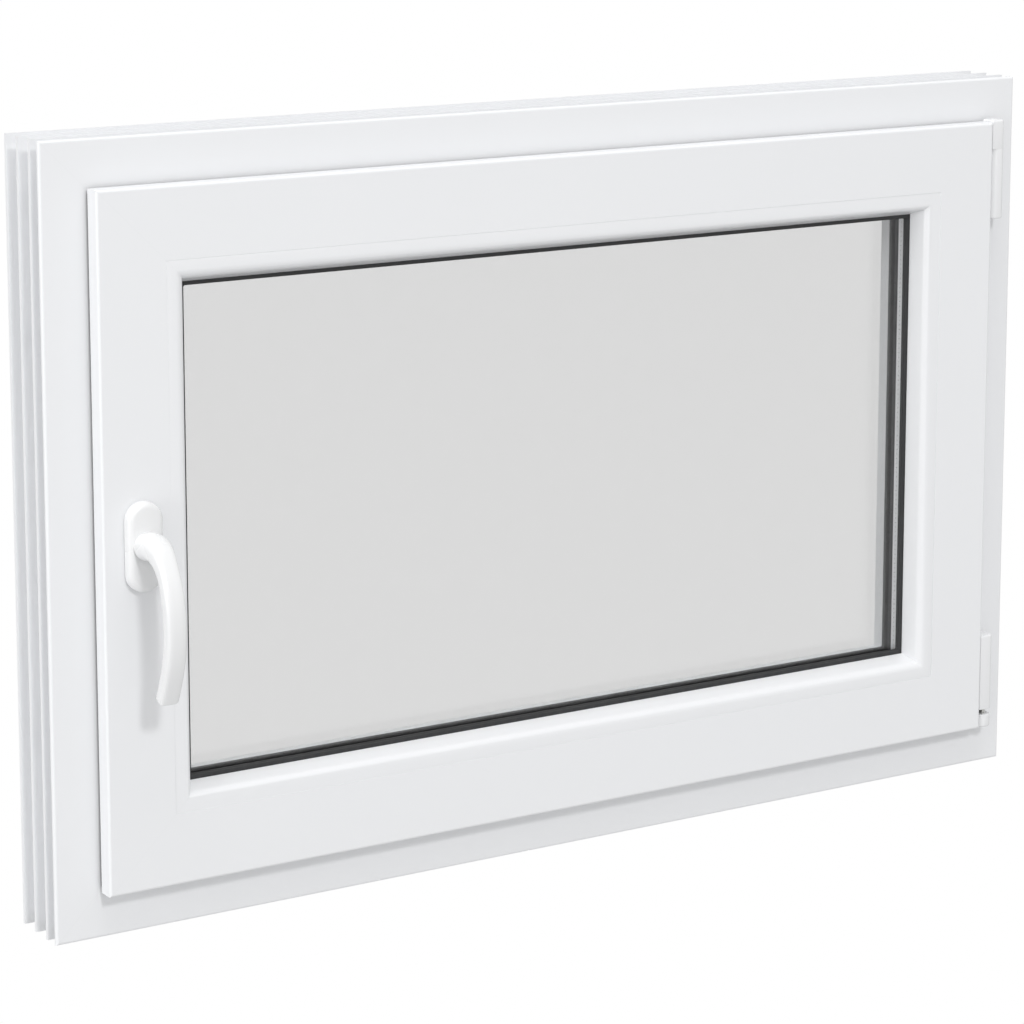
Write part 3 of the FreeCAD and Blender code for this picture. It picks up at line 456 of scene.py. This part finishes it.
glass = glass_material()
spacer = material("spacer_aluminium", (0.88, 0.89, 0.90), 0.34, metallic=0.35, grain=500,
                  bump=0.1, tone=0.1, stain=30)
block = material("glazing_block", (0.10, 0.16, 0.30), 0.5, grain=600, bump=0.1, tone=0.1)
dress(["glass_inner", "glass_outer"], glass)
dress(["spacer_frame"], spacer)
# Black butyl sealant for the spacer's edges; the same black also serves as the painted shade in
# the spacer's vent holes.
butyl_and_vent_shade = material("butyl_seal_and_vent_shade", (0.028, 0.028, 0.030), 0.45, grain=700, bump=0.15, tone=0.3,
                 stain=30)
dress(["glazing_blocks", "rosette_base"], block)


def band_tree():
    """Flat band that lines an outline, square in section."""
    tree, ins, outs = node_tree("spacer_band", [
        ("NodeSocketFloat", "Band width"), ("NodeSocketFloat", "Band thickness"),
        ("NodeSocketMaterial", "Surface")])
    path = tree.nodes.new("GeometryNodeMeshToCurve")
    link(tree, ins.outputs["Geometry"], path.inputs["Mesh"])
    upright = tree.nodes.new("GeometryNodeSetCurveNormal")
    upright.mode = "FREE"
    upright.inputs["Normal"].default_value = (0, 1, 0)
    link(tree, path.outputs[0], upright.inputs["Curve"])
    strip = tree.nodes.new("GeometryNodeCurvePrimitiveQuadrilateral")
    link(tree, ins.outputs["Band width"], strip.inputs["Width"])
    link(tree, ins.outputs["Band thickness"], strip.inputs["Height"])
    sweep = tree.nodes.new("GeometryNodeCurveToMesh")
    link(tree, upright.outputs[0], sweep.inputs["Curve"])
    link(tree, strip.outputs[0], sweep.inputs["Profile Curve"])
    finish_tree(tree, ins, outs, sweep.outputs[0])
    return tree


def vent_shade_tree():
    """Small dark beads set in a row along an outline, standing for the spacer's vent holes; their
    black is painted shade inside the holes.
    """
    tree, ins, outs = node_tree("vent_shade_row", [
        ("NodeSocketFloat", "Pitch"), ("NodeSocketFloat", "Vent radius"),
        ("NodeSocketMaterial", "Surface")])
    path = tree.nodes.new("GeometryNodeMeshToCurve")
    link(tree, ins.outputs["Geometry"], path.inputs["Mesh"])
    dots = tree.nodes.new("GeometryNodeCurveToPoints")
    dots.mode = "LENGTH"
    link(tree, path.outputs[0], dots.inputs["Curve"])
    link(tree, ins.outputs["Pitch"], dots.inputs["Length"])
    vent = tree.nodes.new("GeometryNodeMeshUVSphere")
    vent.inputs["Segments"].default_value = 8
    vent.inputs["Rings"].default_value = 5
    link(tree, ins.outputs["Vent radius"], vent.inputs["Radius"])
    spread = tree.nodes.new("GeometryNodeInstanceOnPoints")
    link(tree, dots.outputs["Points"], spread.inputs["Points"])
    link(tree, vent.outputs["Mesh"], spread.inputs["Instance"])
    finish_tree(tree, ins, outs, spread.outputs[0])
    return tree


BAND = band_tree()
SPACER_EDGE, SPACER_MIDDLE, BUTYL_OFFSET = 0.107, 0.016, 0.0057
for name, side in (("butyl_room_side", -1), ("butyl_outer_side", 1)):
    mesh = mesh_from_tree(BAND, outline_mesh(SPACER_EDGE, SPACER_MIDDLE + side * BUTYL_OFFSET), {
        "Band width": 0.0045, "Band thickness": 0.0005, "Surface": butyl_and_vent_shade})
    piece(name, outward(mesh), butyl_and_vent_shade, "sash", "gasket_rubber")
# Black beads along the middle of the spacer stand for its vent holes: their black is painted
# shade.
vent_shade_mesh = mesh_from_tree(vent_shade_tree(), outline_mesh(SPACER_EDGE, SPACER_MIDDLE), {
    "Pitch": 0.004, "Vent radius": 0.0003, "Surface": butyl_and_vent_shade})
piece("spacer_vent_shade", vent_shade_mesh, butyl_and_vent_shade, "sash", "gasket_rubber")


# -------------------------------------------------------------- glazing beads
# Rounded PVC strips, mitred at the corners, that clip in from the room side
# and press the glass against its outer seal.

def bead_profile():
    """Bead outline as (y, distance inwards): soft shoulder, broad crest, slope."""
    start, end, front, radius, toe = 0.09102, 0.110, -0.018, 0.0075, 0.0012
    top, sunk = 0.0968, 0.00035
    outline = []
    for step in range(9):
        angle = math.radians(90 * step / 8)
        outline.append((front + sunk * (1 - math.sin(angle)),
                        top - (top - start) * math.cos(angle)))
    crest = (front + radius, 0.0985)
    for step in range(17):
        angle = math.radians(180 - 79 * step / 16)
        outline.append((crest[0] + radius * math.cos(angle),
                        crest[1] + radius * math.sin(angle)))
    for step in range(6):
        angle = math.radians(101 - 101 * step / 5)
        outline.append((-toe + toe * math.cos(angle), end - toe + toe * math.sin(angle)))
    outline.append((0.0, start))
    return outline


def mitred_ring(profile):
    """Mesh of a profile carried round the window with sharp mitres."""
    count = len(profile)
    points = []
    for right, up in ((-1, -1), (1, -1), (1, 1), (-1, 1)):
        for y, inset in profile:
            x = right * (WIDTH / 2 - inset)
            z = inset if up < 0 else HEIGHT - inset
            points.append((x, y, z))
    faces = []
    for corner in range(4):
        other = (corner + 1) % 4
        for index in range(count):
            nxt = (index + 1) % count
            faces.append((corner * count + index, other * count + index,
                          other * count + nxt, corner * count + nxt))
    mesh = bpy.data.meshes.new("ring")
    mesh.from_pydata(points, [], faces)
    return outward(mesh)


piece("glazing_beads", mitred_ring(bead_profile()), pvc, "sash", "pvc",
      "glazing_bead_bottom", "glazing_bead_top", "glazing_bead_left", "glazing_bead_right")


# ------------------------------------------------------------ hinges and caps
# Steel stay arm and corner hinge on the right, each hidden under a moulded
# white cap with rounded ends.

caps = material("cap_plastic", (0.82, 0.825, 0.835), 0.25, bump=0.02, tone=0.01)
dress(["corner_hinge", "stay_arm"], plated)


HINGE_INSET, HINGE_Y = 0.0285, -0.011
SHARP_END = 0.00002


def cap_plan(left, right, back, turn_left, turn_right, shrink):
    """Plan outline of a cap round the hinge axis, drawn in by a distance."""
    front = -(right + 0.0001) + shrink
    outline = [(right - shrink, back), (left + shrink, back)]
    for side, turn, start in ((1, turn_left, 180), (-1, turn_right, 270)):
        radius = max(turn - shrink, 0.0002)
        edge = left + shrink + radius if side > 0 else right - shrink - radius
        for step in range(9):
            angle = math.radians(start + 90 * step / 8)
            outline.append((edge + radius * math.cos(angle),
                            front + radius + radius * math.sin(angle)))
    return outline


def stacked(rings, sharp=32):
    """Closed mesh through rings of points that lie one above the other."""
    count = len(rings[0])
    faces = [tuple(reversed(range(count)))]
    for level in range(len(rings) - 1):
        for index in range(count):
            after = (index + 1) % count
            faces.append((level * count + index, level * count + after,
                          (level + 1) * count + after, (level + 1) * count + index))
    faces.append(tuple(range((len(rings) - 1) * count, len(rings) * count)))
    mesh = bpy.data.meshes.new("stacked")
    mesh.from_pydata([point for ring in rings for point in ring], [], faces)
    return outward(mesh, sharp)


def cap_mesh(low, high, right, left, back, turns, soft_low, soft_high):
    """Cap with softened ends, standing round the hinge axis."""
    rings = []
    for edge, soft, steps in ((low, soft_low, range(7)), (high, -soft_high, range(6, -1, -1))):
        for step in steps:
            angle = math.radians(90 * step / 6)
            shrink = abs(soft) * (1 - math.sin(angle))
            plan = cap_plan(left, right, back, turns[0], turns[1], shrink)
            z = edge + soft * (1 - math.cos(angle))
            rings.append([(WIDTH / 2 - HINGE_INSET + x, y + HINGE_Y, z) for x, y in plan])
    return stacked(rings)


piece("stay_bearing_cap",
      cap_mesh(low=0.482, high=0.54142, right=0.0062, left=-0.0072, back=0.011,
               turns=(0.006, 0.004), soft_low=0.0012, soft_high=SHARP_END),
      caps, "frame", "cap_plastic", "stay_bearing_cover")
piece("stay_arm_cap",
      cap_mesh(low=0.54148, high=0.566, right=0.0062, left=-0.0072, back=0.007,
               turns=(0.0008, 0.004), soft_low=SHARP_END, soft_high=0.0018),
      caps, "stay", "cap_plastic", "stay_arm_cover")
piece("corner_hinge_cap",
      cap_mesh(low=0.052, high=0.118, right=0.0062, left=-0.0074, back=0.007,
               turns=(0.0002, 0.004), soft_low=0.0004, soft_high=0.0018),
      caps, "sash", "cap_plastic", "corner_hinge_cover")
piece("corner_bearing_cap",
      cap_mesh(low=0.036, high=0.0473, right=0.00675, left=-0.0072, back=0.011,
               turns=(0.0064, 0.006), soft_low=0.0018, soft_high=0.0004),
      caps, "frame", "cap_plastic", "corner_bearing_cover")


# ----------------------------------------------------------- hardware groove
# Slotted faceplates, drive rods with mushroom cams and the gearbox that the
# handle turns, all let into the outer edge of the sash.

dress(["stay_guide", "faceplate_lock", "faceplate_top", "faceplate_bottom",
       "corner_drive_bottom", "corner_drive_top", "drive_rod_lock", "drive_rod_top",
       "drive_rod_bottom", "gearbox_case", "gear_pinion"], plated)
EDGE, FACEPLATE_SCREW = 0.056, 0.0034
# The outermost screws stand beyond the travel of the cams.
screws_at("faceplate_screws_lock",
          [(EDGE - WIDTH / 2, y, z) for _, y, z in spread_on("faceplate_lock", 0, 1, 4)],
          (-1, 0, 0), FACEPLATE_SCREW, "sash")
screws_at("faceplate_screws_bottom",
          [(x, y, EDGE) for x, y, _ in spread_on("faceplate_bottom", 0, 1, 5, 0.02)],
          (0, 0, -1), FACEPLATE_SCREW, "sash")


# ------------------------------------------------------------------- handle
# A white die-cast lever that bows away from the sash, on a domed oval rosette
# that hides the two screws holding the gearbox.

handle_paint = material("handle_paint", (0.82, 0.825, 0.83), 0.26, bump=0.02, tone=0.01, coat=0.2)
HANDLE_INSET = 0.067
HANDLE = Vector((HANDLE_INSET - WIDTH / 2, 0.0, HEIGHT / 2))
FACE = -0.018
ROSETTE_HALF_WIDTH, ROSETTE_HALF_LENGTH = 0.0145, 0.034
FOOT_INSET, FOOT_HEIGHT, SHOULDER = 0.0013, 0.0010, 0.0048
NECK_WIDE, NECK_THICK = 0.0110, 0.0106
BAR_WIDE, BAR_THICK = 0.0078, 0.0056



def oval(half_width, half_length, sides=72):
    """Round-ended oval outline as points across and along."""
    straight = half_length - half_width
    points = []
    for index in range(sides):
        angle = 2 * math.pi * index / sides
        lift = math.copysign(straight, math.sin(angle + 0.001))
        points.append((half_width * math.cos(angle), half_width * math.sin(angle) + lift))
    return points


def rosette_mesh():
    """Oval cover with a small foot, a rounded shoulder and a flat face."""
    steps = [(0.0, FOOT_INSET), (FOOT_HEIGHT, FOOT_INSET), (FOOT_HEIGHT + 0.0004, 0.0)]
    for step in range(9):
        angle = math.radians(90 * step / 8)
        steps.append((0.0047 + SHOULDER * math.sin(angle), SHOULDER * (1 - math.cos(angle))))
    rings = []
    for lift, shrink in steps:
        rings.append([(HANDLE.x + x, FACE - lift, HANDLE.z + z)
                      for x, z in oval(ROSETTE_HALF_WIDTH - shrink, ROSETTE_HALF_LENGTH - shrink)])
    return stacked(rings)


def lever_spline():
    """Centre line of the lever: (distance out from the sash, height)."""
    knots = [(0.0097, 0.0010), (0.0175, 0.0036), (0.0325, 0.0008), (0.0450, -0.0140),
             (0.0518, -0.0335), (0.0535, -0.0535), (0.0517, -0.0725), (0.0461, -0.0905),
             (0.0385, -0.1070)]
    curve = bpy.data.curves.new("lever_line", "CURVE")
    curve.dimensions = "3D"
    curve.resolution_u = 9
    line = curve.splines.new("NURBS")
    line.points.add(len(knots) - 1)
    for point, (out, rise) in zip(line.points, knots):
        point.co = (HANDLE.x, FACE - out, HANDLE.z + rise, 1.0)
    line.order_u = 3
    line.use_endpoint_u = True
    holder = bpy.data.objects.new("lever_line", curve)
    bpy.context.scene.collection.objects.link(holder)
    bpy.context.view_layer.update()
    mesh = bpy.data.meshes.new_from_object(holder)
    points = [vertex.co.copy() for vertex in mesh.vertices]
    bpy.data.objects.remove(holder)
    return points


def lever_section(way, share):
    """Section of the lever: round at the neck, then a flat bar, a soft tip."""
    blend = min(max((share - 0.06) / 0.30, 0), 1)
    blend = blend * blend * (3 - 2 * blend)
    wide = NECK_WIDE + (BAR_WIDE - NECK_WIDE) * blend
    thick = NECK_THICK + (BAR_THICK - NECK_THICK) * blend
    power = 2 + 2.2 * blend
    across = Vector((0, -way.z, way.y))
    ring = []
    for step in range(48):
        angle = 2 * math.pi * step / 48
        u = math.copysign(abs(math.cos(angle)) ** (2 / power), math.cos(angle)) * wide
        v = math.copysign(abs(math.sin(angle)) ** (2 / power), math.sin(angle)) * thick
        ring.append(Vector((1, 0, 0)) * u + across * v)
    return ring


def lever_mesh():
    line = lever_spline()
    total = len(line)
    rings = []
    for index, here in enumerate(line):
        way = (line[min(index + 1, total - 1)] - line[max(index - 1, 0)]).normalized()
        ring = lever_section(way, index / (total - 1))
        rings.append([here + offset for offset in ring])
    for step in range(1, 7):
        angle = math.radians(90 * step / 6)
        inner = 1 - 0.22 * (1 - math.cos(angle))
        rings.append([line[-1] + way * 0.0016 * math.sin(angle) + offset * inner
                      for offset in ring])
    return stacked(rings, 75)


piece("rosette", rosette_mesh(), handle_paint, "sash", "handle_paint", "rosette_cover")
piece("lever", lever_mesh(), handle_paint, "handle", "handle_paint", "handle_lever")


# ------------------------------------------------------ floor, light, camera
# A plain white studio: even light from all round, one broad lamp in front and
# above, one overhead and a soft fill from the left.

floor_mesh = bpy.data.meshes.new("studio_floor")
REACH, DROP = 12.0, -0.45
floor_mesh.from_pydata([(-REACH, -REACH, DROP), (REACH, -REACH, DROP),
                        (REACH, REACH, DROP), (-REACH, REACH, DROP)], [], [(0, 1, 2, 3)])
floor = bpy.data.objects.new("studio_floor", floor_mesh)
bpy.context.scene.collection.objects.link(floor)


def seen_white(tree, shading, surface_out):
    """White to the camera, also through glass; its own shading to other rays."""
    rays = tree.nodes.new("ShaderNodeLightPath")
    seen = math_node(tree, "MAXIMUM", rays.outputs["Is Camera Ray"],
                     rays.outputs["Is Transmission Ray"])
    kind = "ShaderNodeEmission" if surface_out == "Surface" else "ShaderNodeBackground"
    white = tree.nodes.new(kind)
    white.inputs["Color"].default_value = (1, 1, 1, 1)
    white.inputs["Strength"].default_value = 1.0
    choose = tree.nodes.new("ShaderNodeMixShader")
    link(tree, seen, choose.inputs["Fac"])
    link(tree, shading, choose.inputs[1])
    link(tree, white.outputs[0], choose.inputs[2])
    return choose.outputs[0]


floor_paint = bpy.data.materials.new("floor_paint")
floor_paint.use_nodes = True
floor_tree = floor_paint.node_tree
floor_shader = floor_tree.nodes["Principled BSDF"]
floor_shader.inputs["Base Color"].default_value = (0.60, 0.60, 0.60, 1)
floor_shader.inputs["Roughness"].default_value = 0.9
link(floor_tree, seen_white(floor_tree, floor_shader.outputs[0], "Surface"),
     floor_tree.nodes["Material Output"].inputs["Surface"])
floor_mesh.materials.append(floor_paint)

world = bpy.data.worlds.new("studio")
bpy.context.scene.world = world
world.use_nodes = True
sky_tree = world.node_tree
sky = sky_tree.nodes["Background"]
sky.inputs["Color"].default_value = (1, 1, 1, 1)
sky.inputs["Strength"].default_value = 0.645
link(sky_tree, seen_white(sky_tree, sky.outputs[0], "World"),
     sky_tree.nodes["World Output"].inputs["Surface"])


def lamp(name, direction, distance, size, power):
    """Round area lamp aimed at the middle of the window."""
    data = bpy.data.lights.new(name, "AREA")
    data.shape = "DISK"
    data.size = size
    data.energy = power
    made = bpy.data.objects.new(name, data)
    bpy.context.scene.collection.objects.link(made)
    way = Vector(direction).normalized()
    made.location = Vector((0, 0, HEIGHT / 2)) + way * distance
    made.rotation_euler = (-way).to_track_quat("-Z", "Y").to_euler()


lamp("key_lamp", direction=(-0.16, -1.0, 0.70), distance=8.0, size=1.1, power=164)
lamp("overhead_lamp", direction=(-0.1, -0.2, 1.0), distance=6.0, size=4.0, power=124)
lamp("left_lamp", direction=(-1.0, -0.12, 0.12), distance=8.0, size=3.5, power=196)

bpy.context.scene.view_settings.view_transform = "Standard"
CAMERA_RISE, CAMERA_TURN = 9.492, 31.871
camera_data = bpy.data.cameras.new("camera")
camera_data.lens = 118.68
camera_data.sensor_width = 36.0
camera_data.shift_y = -0.2
camera_data.clip_end = 100
camera = bpy.data.objects.new("camera", camera_data)
bpy.context.scene.collection.objects.link(camera)
camera.location = (-1.4249, -2.2072, 0.8798)
camera.rotation_euler = (math.radians(90 - CAMERA_RISE), 0, math.radians(-CAMERA_TURN))
bpy.context.scene.camera = camera
